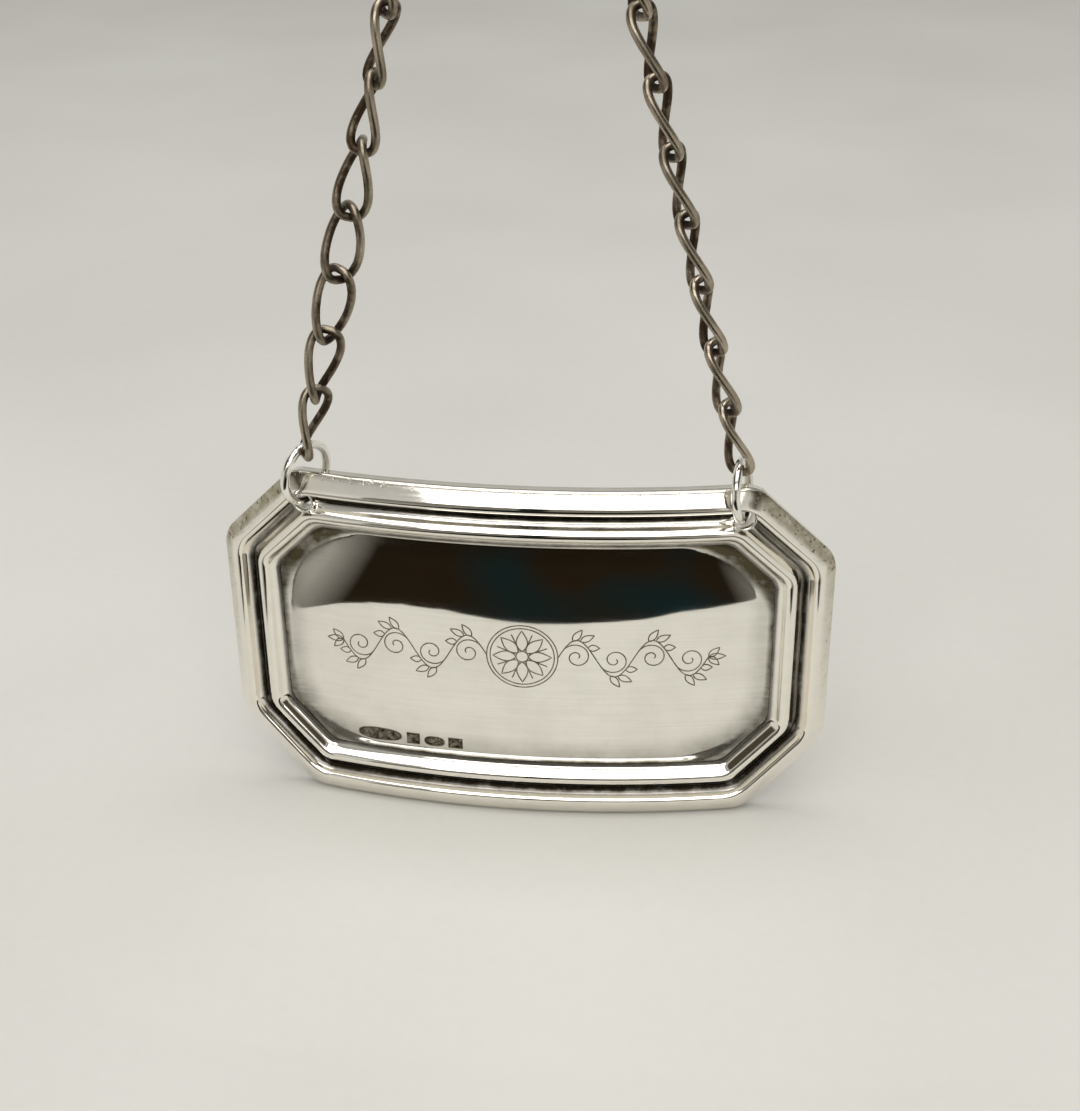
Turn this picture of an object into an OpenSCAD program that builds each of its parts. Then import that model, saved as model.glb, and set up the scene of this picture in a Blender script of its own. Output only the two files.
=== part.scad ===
// Silver wine label: a curved plate with cut corners and a double reeded border,
// hung by two jump rings from a loop of twisted curb chain.
// Millimetres, Z up, the label's face looks to -Y, the chain lies in the plane Y = 0.
// The origin is the underside of the topmost link, where the chain is hung up.

/* [Label plate] */
// Width of the blank, measured along its bend
label_w = 50; // [46:0.5:60]
// Height of the blank
label_h = 30; // [26:0.5:40]
// Length of each cut corner along the top and side edges
corner_cut = 6.6; // [6:0.1:9]
// Radius that the plate is bent to, at the front of the panel
bend_r = 80; // [60:1:140]
// Thickness of the plate
plate_t = 0.6; // [0.4:0.05:0.9]
// Depth that the panel is dished by
dish_depth = 0.3; // [0.1:0.05:0.5]
// Width of the dish's curved edge
dish_w = 2; // [1.2:0.1:3]

/* [Reeded border] */
// Height of both reeds above the plate
reed_h = 1; // [0.7:0.05:1.3]
// Height of the upright wall round the outside
wall_h = 0.25; // [0.1:0.05:0.5]
// Width of the bevel from the wall up to the outer reed
bevel_w = 1.28; // [1:0.02:1.6]
// Width of the outer reed's flat top
outer_reed_w = 0.38; // [0.25:0.01:0.6]
// Width of the groove between the two flat tops
groove_w = 1.72; // [1.6:0.02:2.1]
// Width of the inner reed's flat top
inner_reed_w = 0.55; // [0.3:0.01:0.8]
// Width of the cove from the inner reed down to the panel
cove_w = 0.9; // [0.6:0.05:1.3]

/* [Eyelets and jump rings] */
// Bore of the eyelets
eyelet_bore = 1.42; // [1.4:0.01:1.5]
// Wall of the eyelets
eyelet_wall = 0.18; // [0.12:0.01:0.2]
// Height of the eyelets' rolled lip above the plate
eyelet_h = 0.65; // [0.4:0.05:0.8]
// Wire of the jump rings
ring_wire = 0.72; // [0.6:0.01:0.74]
// Diameter of the jump rings at the middle of their wire
ring_d = 4.65; // [4.6:0.05:5.6]
// Turn of the left ring's front away from straight ahead, in degrees
left_ring_turn = -31; // [-32:1:-28]
// Turn of the right ring's front away from straight ahead, in degrees
right_ring_turn = -11; // [-11:1:2]
// Lean of both rings' tops towards each other, in degrees
ring_lean = 5; // [0:0.5:6]
// Play between each ring and the lowest link
ring_gap = 0.14; // [0.1:0.02:0.2]

/* [Chain] */
// Distance from one link to the next
link_pitch = 4.95; // [4.6:0.05:5.6]
// Wire of the links
link_wire = 0.68; // [0.5:0.01:0.7]
// Width of a link over its wire, before twisting
link_w = 3.2; // [3:0.05:3.6]
// Play where two links hang in each other
link_gap = 0.2; // [0.15:0.01:0.3]
// Twist from one end of a link to the other, in degrees
link_twist = 98; // [90:1:104]
// Links on each side, between the ring and the arch
side_links = 9; // [6:1:10]
// Links in the arch over whatever holds the chain, an odd number
arch_links = 3; // [3:2:5]
// Roll of the lowest link on the left, in degrees from edge on
left_roll_low = 165; // [164:1:170]
// Roll from link to link up the left side, in degrees
left_roll_step = 27; // [24:0.5:28]
// Roll of the lowest link on the right, in degrees from edge on
right_roll_low = 16; // [5:1:20]
// Roll from link to link up the right side, in degrees
right_roll_step = 3.5; // [2:0.5:6]

/* [Hidden] */
// Air between soldered pieces, which keeps flat facets out of each other
seat_gap = 0.02;
// Facets: pieces of a long edge, pieces of a cut corner, sides and rings of a link's wire
edge_steps = 16;
cut_steps = 4;
wire_sides = 8;
link_rings = 26;
// Fullness of a link's outline: 2 is an ellipse, and more is squarer
link_fullness = 2.9;
// Least roll of a side link, near that of the arch
roll_floor = -5;
silver = "#d9d4c8";
bright_silver = "#eeeae0";
worn_silver = "#a79c8c";

// Places across the border, from the outside edge inwards
outer_top = bevel_w;
groove_start = outer_top + outer_reed_w;
groove_mid = groove_start + groove_w / 2;
inner_top = groove_start + groove_w;
inner_top_end = inner_top + inner_reed_w;
panel_edge = inner_top_end + cove_w;
// A corner of the outline moves this far along its edge for each millimetre inwards
miter = tan(22.5);

// Place of an eyelet on the flat blank, and the angle of the bend there
eyelet_x = label_w / 2 - corner_cut - groove_mid * miter;
eyelet_z = label_h / 2 - groove_mid;
eyelet_angle = bend_angle(eyelet_x);
eyelet_reach = bend_r * sin(eyelet_angle);
eyelet_setback = bend_r * (1 - cos(eyelet_angle));
eyelet_r = eyelet_bore / 2 + eyelet_wall;
bore_slack = 0.015;

// Chain: half a link along its wire, the side's lean and the arch's bends
link_half = (link_pitch + link_wire + link_gap) / 2;
link_half_w = (link_w - link_wire) / 2;
ring_r = ring_d / 2;
top_z = link_wire / 2;
ring_top_x = eyelet_reach - ring_d * sin(ring_lean);
side_lean = lean_between(0, 40, 40);
arch_bend = bend_for(side_lean);
arch_half = (arch_links - 1) / 2;
low_contact_z = arch_joint(arch_half)[1] - side_links * link_pitch * cos(side_lean);
ring_top_z = low_contact_z - link_gap / 2 + ring_gap + ring_wire / 2;
swing_z = low_contact_z - link_gap / 2 + ring_gap / 2;
ring_mid_x = ring_top_x + ring_r * sin(ring_lean);
ring_mid_z = ring_top_z - ring_r * cos(ring_lean);
label_z = ring_top_z - ring_d * cos(ring_lean) - eyelet_z;

// Angle of the bend, in degrees, at a distance along the blank
function bend_angle(x) = x / bend_r * 180 / PI;

// The arch's bend at each joint when the sides lean by an angle
function bend_for(lean) = (180 - 2 * lean) / (arch_links + 1);

// Sum of a list
function sum(list, i = 0) = i >= len(list) ? 0 : list[i] + sum(list, i + 1);

// Joint i of the arch, counted from the top: its distance from the middle and its height
function arch_joint(i, bend = arch_bend) = [
    link_pitch * (0.5 + (i < 1 ? 0 : sum([for (q = [1:i]) cos(q * bend)]))),
    top_z - link_pitch * (i < 1 ? 0 : sum([for (q = [1:i]) sin(q * bend)]))
];

// How far out the lowest contact comes when the sides lean by an angle
function reach_at(lean) = side_links * link_pitch * sin(lean)
    + arch_joint((arch_links - 1) / 2, bend_for(lean))[0];

// The lean that brings the lowest contacts over the rings
function lean_between(low, high, steps) = let (mid = (low + high) / 2)
    steps == 0 ? mid
    : reach_at(mid) < ring_top_x ? lean_between(mid, high, steps - 1)
    : lean_between(low, mid, steps - 1);

// Contact k on a side, from the ring at 0 up to the arch
function contact(side, k) = [
    side * (ring_top_x - k * link_pitch * sin(side_lean)),
    0,
    low_contact_z + k * link_pitch * cos(side_lean)
];

// A point of the flat blank, h in front of the plate, bent and set at its place
function bent(x, z, h) = [
    (bend_r + h) * sin(bend_angle(x)),
    bend_r - (bend_r + h) * cos(bend_angle(x)) - eyelet_setback,
    z + label_z
];

// Points from a to b, leaving b out
function steps_to(a, b, n) = [for (i = [0:n - 1]) a + (b - a) * i / n];

// The cut cornered outline, moved inwards by u
function outline(u) = let (
    xt = label_w / 2 - corner_cut - u * miter,
    zt = label_h / 2 - u,
    xs = label_w / 2 - u,
    zs = label_h / 2 - corner_cut - u * miter
) concat(
    steps_to([-xt, -zt], [xt, -zt], edge_steps),
    steps_to([xt, -zt], [xs, -zs], cut_steps),
    [[xs, -zs]],
    steps_to([xs, zs], [xt, zt], cut_steps),
    steps_to([xt, zt], [-xt, zt], edge_steps),
    steps_to([-xt, zt], [-xs, zs], cut_steps),
    [[-xs, zs]],
    steps_to([-xs, -zs], [-xt, -zt], cut_steps)
);
outline_count = 2 * edge_steps + 4 * cut_steps + 2;

// Two triangles for the four points where rows a and b of a skin meet columns i and j
function patch(a, b, i, j, n) = [[a * n + i, b * n + j, a * n + j], [a * n + i, b * n + i, b * n + j]];

// The faces of a skin of rows and columns, closed round its columns
function skin(rows, columns, closed) = [
    for (a = [0:(closed ? rows - 1 : rows - 2)])
        for (i = [0:columns - 1])
            each patch(a, (a + 1) % rows, i, (i + 1) % columns, columns)
];

// The faces that close a ring of the outline: column i of the bottom edge meets the
// column above it on the top edge, and both sides close in the same way
function lid(row, facing_front) = let (
    n = outline_count,
    right_end = edge_steps + cut_steps,
    opposite = function (i) (2 * right_end + 1 - i + n) % n
) [
    for (k = [-cut_steps:right_end - 1])
        let (a = (k + n) % n, b = (k + 1 + n) % n, c = opposite(b), d = opposite(a))
            each facing_front
                ? [[row * n + c, row * n + b, row * n + a], [row * n + d, row * n + c, row * n + a]]
                : [[row * n + a, row * n + b, row * n + c], [row * n + a, row * n + c, row * n + d]]
];

// A moulding that runs round the plate: profile is a closed list of [inwards, height]
module moulding(profile) {
    points = [for (p = profile) for (q = outline(p[0])) bent(q[0], q[1], p[1])];
    polyhedron(points, skin(len(profile), outline_count, true));
}

// A sheet that fills the outline: profile runs from the middle of the back to that of the front
module sheet(profile) {
    points = [for (p = profile) for (q = outline(p[0])) bent(q[0], q[1], p[1])];
    rows = len(profile);
    faces = concat(skin(rows, outline_count, false), lid(0, false), lid(rows - 1, true));
    polyhedron(points, faces);
}

// Sets its children square to the plate at an eyelet, with z pointing forwards
module at_eyelet(side) {
    translate([side * eyelet_reach, 0, eyelet_z + label_z])
        rotate([0, 0, side * eyelet_angle])
            rotate([90, 0, 0])
                children();
}

// The holes that both eyelets sit in
module eyelet_holes() {
    for (side = [-1, 1])
        at_eyelet(side)
            cylinder(r = eyelet_r + bore_slack, h = 4 * (reed_h + plate_t), center = true, $fn = 48);
}

module face_plate() {
    back = -plate_t;
    dish_end = panel_edge + dish_w;
    dish_mid = panel_edge + dish_w / 2;
    color(silver)
        difference() {
            sheet([
                [dish_end, back - dish_depth], [dish_mid, back - dish_depth * 0.7],
                [panel_edge, back], [0, back],
                [0, 0], [panel_edge, 0],
                [dish_mid, -dish_depth * 0.7], [dish_end, -dish_depth]
            ]);
            eyelet_holes();
        }
}

module outer_border() {
    color(silver)
        difference() {
            moulding([
                [0, seat_gap], [0, wall_h],
                [bevel_w * 0.15, wall_h + (reed_h - wall_h) * 0.28],
                [bevel_w * 0.55, wall_h + (reed_h - wall_h) * 0.68],
                [outer_top, reed_h], [groove_start, reed_h],
                [groove_start + groove_w * 0.12, reed_h * 0.55],
                [groove_start + groove_w * 0.3, reed_h * 0.25],
                [groove_mid - groove_w * 0.04, reed_h * 0.12], [groove_mid - groove_w * 0.04, seat_gap]
            ]);
            eyelet_holes();
        }
}

module inner_border() {
    color(silver)
        difference() {
            moulding([
                [groove_mid + groove_w * 0.04, seat_gap], [groove_mid + groove_w * 0.04, reed_h * 0.12],
                [groove_mid + groove_w * 0.25, reed_h * 0.4],
                [inner_top - groove_w * 0.08, reed_h * 0.8],
                [inner_top, reed_h], [inner_top_end, reed_h],
                [inner_top_end + cove_w * 0.2, reed_h * 0.62],
                [inner_top_end + cove_w * 0.55, reed_h * 0.25],
                [panel_edge, reed_h * 0.06], [panel_edge, seat_gap]
            ]);
            eyelet_holes();
        }
}

// A short tube through the plate with a rolled lip at the front
module eyelet(side) {
    bore_r = eyelet_bore / 2;
    lip_r = eyelet_wall / 2;
    color(bright_silver)
        at_eyelet(side)
            rotate_extrude($fn = 64)
                union() {
                    translate([bore_r, -plate_t])
                        square([eyelet_wall, plate_t + eyelet_h - lip_r]);
                    translate([bore_r + lip_r, eyelet_h - lip_r])
                        circle(r = lip_r, $fn = 32);
                }
}

module left_eyelet() { eyelet(-1); }
module right_eyelet() { eyelet(1); }

// A jump ring that passes through an eyelet and over the label's top edge
module jump_ring(side, turn) {
    color(bright_silver)
        translate([side * ring_mid_x, 0, ring_mid_z])
            rotate([0, -side * ring_lean, 0])
                rotate([0, 0, turn - 90])
                    rotate([90, 0, 0])
                        rotate_extrude($fn = 96)
                            translate([ring_r, 0])
                                circle(d = ring_wire, $fn = 32);
}

module left_ring() { jump_ring(-1, left_ring_turn); }
module right_ring() { jump_ring(1, right_ring_turn); }

// A power of a number that keeps the number's sign
function signed_power(v, e) = v < 0 ? -pow(-v, e) : pow(v, e);

// A point on the middle of a link's wire: an oval, twisted evenly about its long axis
function link_point(t, roll) = let (
    w = link_half_w * signed_power(cos(t), 2 / link_fullness),
    z = link_half * signed_power(sin(t), 2 / link_fullness),
    a = roll - 90 - link_twist / 2 * z / link_half
) [w * cos(a), w * sin(a), z];

function unit(v) = v / norm(v);

// One ring of points round the wire at t
function wire_ring(t, roll) = let (
    p = link_point(t, roll),
    along = unit(link_point(t + 1, roll) - link_point(t - 1, roll)),
    out = unit(p - along * (p * along)),
    across = cross(along, out)
) [for (s = [0:wire_sides - 1]) let (a = s * 360 / wire_sides)
    p + link_wire / 2 * (cos(a) * out + sin(a) * across)];

// A link with its middle at a point, its long axis leaning from upright towards +X
module link(middle, lean, roll) {
    points = [for (i = [0:link_rings - 1]) each wire_ring((i + 0.5) * 360 / link_rings, roll)];
    color(worn_silver)
        translate(middle)
            rotate([0, lean, 0])
                polyhedron(points, skin(link_rings, wire_sides, true));
}

// Link k of a side, counted up from the ring
module side_link(side, k) {
    low_roll = side < 0 ? left_roll_low : right_roll_low;
    roll_step = side < 0 ? left_roll_step : right_roll_step;
    roll = max(roll_floor, low_roll - (k - 1) * roll_step);
    link((contact(side, k - 1) + contact(side, k)) / 2, -side * side_lean, roll);
}

// Link k of the arch, counted from the left
module arch_link(k) {
    step = k - 1 - arch_half;
    side = sign(step);
    near = arch_joint(abs(step) - 1);
    far = arch_joint(abs(step));
    middle = step == 0 ? [0, 0, top_z] : [side * (near[0] + far[0]) / 2, 0, (near[1] + far[1]) / 2];
    link(middle, 90 + step * arch_bend, 0);
}

face_plate();
outer_border();
inner_border();
left_eyelet();
right_eyelet();
left_ring();
right_ring();
for (k = [1:side_links]) {
    side_link(-1, k);
    side_link(1, k);
}
for (k = [1:arch_links])
    arch_link(k);
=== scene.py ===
# Silver wine label on a curb chain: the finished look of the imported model.
import math

import bpy
from mathutils import Matrix, Vector, kdtree
from mathutils.geometry import intersect_point_line


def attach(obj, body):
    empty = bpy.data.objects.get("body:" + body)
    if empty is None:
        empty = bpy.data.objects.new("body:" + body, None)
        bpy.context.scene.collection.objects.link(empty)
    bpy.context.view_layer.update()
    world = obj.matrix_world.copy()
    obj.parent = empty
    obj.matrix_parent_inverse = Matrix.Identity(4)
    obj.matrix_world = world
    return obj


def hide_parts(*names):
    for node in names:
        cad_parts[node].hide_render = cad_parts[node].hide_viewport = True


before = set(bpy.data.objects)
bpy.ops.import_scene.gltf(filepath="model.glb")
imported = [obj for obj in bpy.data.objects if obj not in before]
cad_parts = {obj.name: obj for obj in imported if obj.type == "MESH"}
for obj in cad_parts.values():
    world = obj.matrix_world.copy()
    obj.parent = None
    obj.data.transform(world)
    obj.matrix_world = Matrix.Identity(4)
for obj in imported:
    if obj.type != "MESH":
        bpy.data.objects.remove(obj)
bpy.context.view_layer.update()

# Sizes in millimetres and degrees, as in the part's source.
# Pieces are made in millimetres and set down in metres.
LABEL_W, LABEL_H, CORNER_CUT = 50.0, 30.0, 6.6
BEND_R, PLATE_T, DISH_DEPTH = 80.0, 0.6, 0.3
SEAT_GAP, GROOVE_MID, PANEL_EDGE, PANEL_ROUND = 0.02, 2.52, 4.83, 5.6
EYELET_BORE, EYELET_WALL, EYELET_H, BORE_SLACK = 1.42, 0.18, 0.65, 0.015
RING_WIRE, RING_D, RING_LEAN, RING_GAP = 0.72, 4.65, 5.0, 0.14
RING_TURN = {"left": -31.0, "right": -11.0}
LINK_PITCH, LINK_WIRE, LINK_W, LINK_GAP = 4.95, 0.68, 3.2, 0.2
LINK_TWIST, LINK_FULLNESS = 98.0, 2.9
SIDE_LINKS, ROLL_FLOOR = 9, -5.0
ROLL_LOW = {"left": 165.0, "right": 16.0}
ROLL_STEP = {"left": 27.0, "right": 3.5}
SIDE = {"left": -1, "right": 1}
MM = 0.001

# Sizes that only the finished look has
BORDER_SLICE, PLATE_SLICE, MARK_SLICE, CUT_TOLERANCE = 1.0, 0.5, 0.3, 1e-5
OUTER_MITRE_ROUND, INNER_MITRE_ROUND, MITRE_TOLERANCE = 1.0, 0.55, 2e-3
FILED_ROUND, DRILL_DEPTH = 2.4, 8
EDGE_SMOOTH, LINE_SMOOTH = 42, 60
VINE_LINE, MARK_LINE, LINE_FLATTEN, LAID_LIFT = 0.12, 0.1, 0.12, 0.004
EYELET_ROUND, EYELET_FLARE, FLARE_H = 0.48, 0.05, 0.25
RING_FIT, LINK_FIT = 0.985, 0.965
SEAM_TURN = {"left": 68, "right": 120}
SEAM_HALF, SEAM_FADE, SEAM_PINCH = 0.012, 0.05, 0.09
LINK_POINTS = 96

# Places that follow from the sizes
HALF_MITRE = math.radians(22.5)
MITRE = math.tan(HALF_MITRE)
eyelet_x = LABEL_W / 2 - CORNER_CUT - GROOVE_MID * MITRE
eyelet_z = LABEL_H / 2 - GROOVE_MID
eyelet_angle = eyelet_x / BEND_R
eyelet_reach = BEND_R * math.sin(eyelet_angle)
eyelet_setback = BEND_R * (1 - math.cos(eyelet_angle))
ring_lean = math.radians(RING_LEAN)
ring_top_x = eyelet_reach - RING_D * math.sin(ring_lean)
top_z = LINK_WIRE / 2


def arch_reach(lean):
    bend = (90 - lean) / 2
    return LINK_PITCH * (0.5 + math.cos(math.radians(bend)))


def chain_lean():
    low, high = 0.0, 40.0
    for _ in range(50):
        mid = (low + high) / 2
        reach = SIDE_LINKS * LINK_PITCH * math.sin(math.radians(mid)) + arch_reach(mid)
        low, high = (mid, high) if reach < ring_top_x else (low, mid)
    return (low + high) / 2


side_lean = chain_lean()
arch_bend = (90 - side_lean) / 2
arch_end_z = top_z - LINK_PITCH * math.sin(math.radians(arch_bend))
low_contact_z = arch_end_z - SIDE_LINKS * LINK_PITCH * math.cos(math.radians(side_lean))
ring_top_z = low_contact_z - LINK_GAP / 2 + RING_GAP + RING_WIRE / 2
ring_mid_x = ring_top_x + RING_D / 2 * math.sin(ring_lean)
ring_mid_z = ring_top_z - RING_D / 2 * math.cos(ring_lean)
label_z = ring_top_z - RING_D * math.cos(ring_lean) - eyelet_z


def contact(side, k):
    lean = math.radians(side_lean)
    return Vector((SIDE[side] * (ring_top_x - k * LINK_PITCH * math.sin(lean)), 0,
                   low_contact_z + k * LINK_PITCH * math.cos(lean)))


# Small hand moves
def nothing_selected():
    if bpy.context.object and bpy.context.object.mode != "OBJECT":
        bpy.ops.object.mode_set(mode="OBJECT")
    bpy.ops.object.select_all(action="DESELECT")


def take(obj):
    nothing_selected()
    obj.select_set(True)
    bpy.context.view_layer.objects.active = obj
    return obj


def edit():
    bpy.ops.object.mode_set(mode="EDIT")


def leave_edit():
    bpy.ops.object.mode_set(mode="OBJECT")


def select_all():
    bpy.ops.mesh.select_all(action="SELECT")


def apply_modifier(obj, kind, **settings):
    take(obj)
    mod = obj.modifiers.new(kind.lower(), kind)
    for key, value in settings.items():
        setattr(mod, key, value)
    bpy.ops.object.modifier_apply(modifier=mod.name)


def duplicate(obj, name):
    take(obj)
    bpy.ops.object.duplicate(linked=False)
    copy = bpy.context.active_object
    copy.name = name
    return copy


def place(obj, matrix):
    take(obj)
    obj.matrix_world = matrix @ obj.matrix_world
    bpy.ops.object.transform_apply(location=True, rotation=True, scale=True)
    return obj


def to_metres(obj):
    return place(obj, Matrix.Scale(MM, 4))


def upright_plane(name):
    nothing_selected()
    bpy.ops.mesh.primitive_plane_add(size=1, location=(0, 0, 0), rotation=(math.pi / 2, 0, 0))
    plane = bpy.context.active_object
    plane.name = name
    bpy.ops.object.transform_apply(location=True, rotation=True, scale=True)
    edit()
    select_all()
    return plane


def filled_outline(name, points):
    nothing_selected()
    bpy.ops.mesh.primitive_circle_add(vertices=len(points), radius=1, fill_type="NGON")
    shape = bpy.context.active_object
    shape.name = name
    for v, point in zip(shape.data.vertices, points):
        v.co = point
    return shape


def mark(obj, name, rule):
    layer = obj.data.attributes.new(name, "FLOAT", "POINT")
    layer.data.foreach_set("value", [rule(v.co) for v in obj.data.vertices])


def smooth_by(obj, degrees):
    take(obj)
    bpy.ops.object.shade_smooth_by_angle(angle=math.radians(degrees), keep_sharp_edges=True)


def within(value, low, high):
    return min(high, max(low, value))


def soft_step(value, low, high):
    t = within((value - low) / (high - low), 0.0, 1.0)
    return t * t * (3 - 2 * t)


def soft_fall(value, low, high):
    return 1 - soft_step(value, low, high)


def finish_piece(obj, body, slot, material, *nodes):
    obj.data.materials.clear()
    obj.data.materials.append(material)
    if nodes:
        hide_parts(*nodes)
    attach(obj, body)


# Node trees: a method adds the nodes for what it is named after, and gives their output
class Graph:
    def __init__(self, tree):
        self.nodes, self.links = tree.nodes, tree.links

    def feed(self, socket, value):
        if isinstance(value, bpy.types.NodeSocket):
            self.links.new(value, socket)
        else:
            socket.default_value = value

    def where(self, kind="Object"):
        return self.nodes.new("ShaderNodeTexCoord").outputs[kind]

    def axes(self, kind="Object"):
        node = self.nodes.new("ShaderNodeSeparateXYZ")
        self.links.new(self.where(kind), node.inputs[0])
        return node.outputs

    def painted(self, name):
        node = self.nodes.new("ShaderNodeAttribute")
        node.attribute_name = name
        return node.outputs["Fac"]

    def math(self, operation, a, b, clamp=False):
        node = self.nodes.new("ShaderNodeMath")
        node.operation = operation
        node.use_clamp = clamp
        self.feed(node.inputs[0], a)
        self.feed(node.inputs[1], b)
        return node.outputs[0]

    def spread(self, value, low, high, to_low=0.0, to_high=1.0):
        node = self.nodes.new("ShaderNodeMapRange")
        node.clamp = True
        self.feed(node.inputs["Value"], value)
        for key, end in (("From Min", low), ("From Max", high), ("To Min", to_low), ("To Max", to_high)):
            self.feed(node.inputs[key], end)
        return node.outputs["Result"]

    def noise(self, where, scale, detail=4.0, rough=0.55):
        node = self.nodes.new("ShaderNodeTexNoise")
        self.feed(node.inputs["Vector"], where)
        self.feed(node.inputs["Scale"], scale)
        node.inputs["Detail"].default_value = detail
        node.inputs["Roughness"].default_value = rough
        return node.outputs["Fac"]

    def mix(self, factor, a, b):
        node = self.nodes.new("ShaderNodeMix")
        node.data_type = "RGBA"
        self.feed(node.inputs["Factor"], factor)
        self.feed(node.inputs[6], a)
        self.feed(node.inputs[7], b)
        return node.outputs[2]

    def group(self, tree, values):
        node = self.nodes.new("ShaderNodeGroup")
        node.node_tree = tree
        for key, value in values.items():
            self.feed(node.inputs[key], value)
        return node.outputs

    def blend(self, factor, a, b):
        node = self.nodes.new("ShaderNodeMixShader")
        for socket, value in zip(node.inputs, (factor, a, b)):
            self.links.new(value, socket)
        return node.outputs[0]

    def seen_rays(self):
        path = self.nodes.new("ShaderNodeLightPath").outputs
        seen = self.math("MAXIMUM", path["Is Camera Ray"], path["Is Glossy Ray"])
        return self.math("MAXIMUM", seen, path["Is Transmission Ray"])


def new_group(name, inputs, outputs):
    group = bpy.data.node_groups.new(name, "ShaderNodeTree")
    for label, value in inputs.items():
        socket = group.interface.new_socket(label, in_out="INPUT", socket_type="NodeSocketFloat")
        socket.default_value = value
    for label in outputs:
        group.interface.new_socket(label, in_out="OUTPUT", socket_type="NodeSocketFloat")
    given, out = group.nodes.new("NodeGroupInput"), group.nodes.new("NodeGroupOutput")
    return group, given.outputs, out.inputs


def new_material(name):
    material = bpy.data.materials.new(name)
    material.use_nodes = True
    graph = Graph(material.node_tree)
    return material, graph, graph.nodes["Principled BSDF"].inputs


# Shared effects for the silver
FINE_TO_PATCH, PATCH_SWING, GRAIN_SWING, OPEN_SWING = 5.3, 0.28, 0.12, 0.15
LINE_STRETCH = (90.0, 90.0, 5200.0)
TARNISH_ROUGH, RELIEF_DEPTH = 0.3, 0.0001
FILM_BROWN, FILM_ROUGH = (0.36, 0.32, 0.225, 1.0), 0.2
PIT_DARK, PIT_DEPTH = (0.07, 0.055, 0.03, 1.0), 0.8


# The mask is patina, and for the panel and border also the painted shade and painted reflection in their
# recess values
def make_tarnish_and_shade_group():
    group, given, out = new_group(
        "tarnish_and_shade", {"Recess": 0.0, "Amount": 1.0, "Film": 0.1, "Patch Scale": 900.0, "Unevenness": 1.0},
        ["Mask"])
    g = Graph(group)
    where = g.where()
    patches = g.noise(where, given["Patch Scale"], detail=6.0, rough=0.62)
    fine = g.noise(where, g.math("MULTIPLY", given["Patch Scale"], FINE_TO_PATCH), detail=3.0)
    broken = g.spread(patches, 0.32, 0.66, -PATCH_SWING, PATCH_SWING)
    grain = g.spread(fine, 0.3, 0.7, -GRAIN_SWING, GRAIN_SWING)
    deep = g.math("MULTIPLY", given["Recess"], given["Amount"])
    uneven = g.math("MULTIPLY", g.math("ADD", broken, grain), given["Unevenness"])
    strength = g.math("MULTIPLY", uneven, g.math("ADD", deep, OPEN_SWING))
    film = g.math("MULTIPLY", given["Film"], g.spread(patches, 0.4, 0.7, 0.2, 1.0))
    total = g.math("ADD", g.math("ADD", deep, strength), film, clamp=True)
    g.links.new(total, out["Mask"])
    return group


def make_polish_group():
    group, given, out = new_group(
        "polish_lines", {"Wave Scale": 120.0, "Line Share": 0.3}, ["Height", "Lines"])
    g = Graph(group)
    where = g.where()
    stretch = g.nodes.new("ShaderNodeMapping")
    stretch.inputs["Scale"].default_value = LINE_STRETCH
    g.links.new(where, stretch.inputs["Vector"])
    lines = g.noise(stretch.outputs["Vector"], 1.0, detail=3.0, rough=0.7)
    waves = g.noise(where, given["Wave Scale"], detail=1.5, rough=0.4)
    share = g.math("MULTIPLY", lines, given["Line Share"])
    g.links.new(g.math("ADD", share, waves), out["Height"])
    g.links.new(lines, out["Lines"])
    return group


tarnish_and_shade_group = make_tarnish_and_shade_group()
polish_group = make_polish_group()


def pitted(g, colour, roughness, height):
    eaten, where = g.painted("pitting"), g.where()
    cloud = g.spread(g.noise(where, 1100.0, detail=5.0, rough=0.65), 0.34, 0.64, 0.6, 1.0)
    film = g.math("MULTIPLY", cloud, eaten, clamp=True)
    specks = g.spread(g.noise(where, 2600.0, detail=4.0, rough=0.6), 0.59, 0.67)
    pit = g.math("MULTIPLY", specks, eaten, clamp=True)
    colour = g.mix(pit, g.mix(film, colour, FILM_BROWN), PIT_DARK)
    roughness = g.math("ADD", roughness, g.math("MULTIPLY", film, FILM_ROUGH))
    height = g.math("SUBTRACT", height, g.math("MULTIPLY", pit, PIT_DEPTH))
    return colour, roughness, height


def silver_finish(name, bright, dark, amount, film, patch_scale, uneven, rough, wave_scale, line_share, bump,
                  pits=False, streaks=0.0):
    material, g, shader = new_material(name)
    shader["Metallic"].default_value = 1.0
    tarnish_and_shade = g.group(tarnish_and_shade_group, {"Recess": g.painted("recess"), "Amount": amount, "Film": film,
                                      "Patch Scale": patch_scale, "Unevenness": uneven})
    polish = g.group(polish_group, {"Wave Scale": wave_scale, "Line Share": line_share})
    mask, lines, height = tarnish_and_shade["Mask"], polish["Lines"], polish["Height"]
    if streaks:
        mask = g.math("ADD", mask, g.spread(lines, 0.35, 0.7, 0.0, streaks), clamp=True)
    colour = g.mix(mask, bright, dark)
    rub = g.spread(lines, 0.3, 0.75, *rough)
    roughness = g.math("ADD", rub, g.spread(mask, 0.15, 1.0, 0.0, TARNISH_ROUGH))
    if pits:
        colour, roughness, height = pitted(g, colour, roughness, height)
    g.links.new(colour, shader["Base Color"])
    g.links.new(roughness, shader["Roughness"])
    relief = g.nodes.new("ShaderNodeBump")
    relief.inputs["Strength"].default_value = bump
    relief.inputs["Distance"].default_value = RELIEF_DEPTH
    g.links.new(height, relief.inputs["Height"])
    g.links.new(relief.outputs["Normal"], shader["Normal"])
    return material


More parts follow.
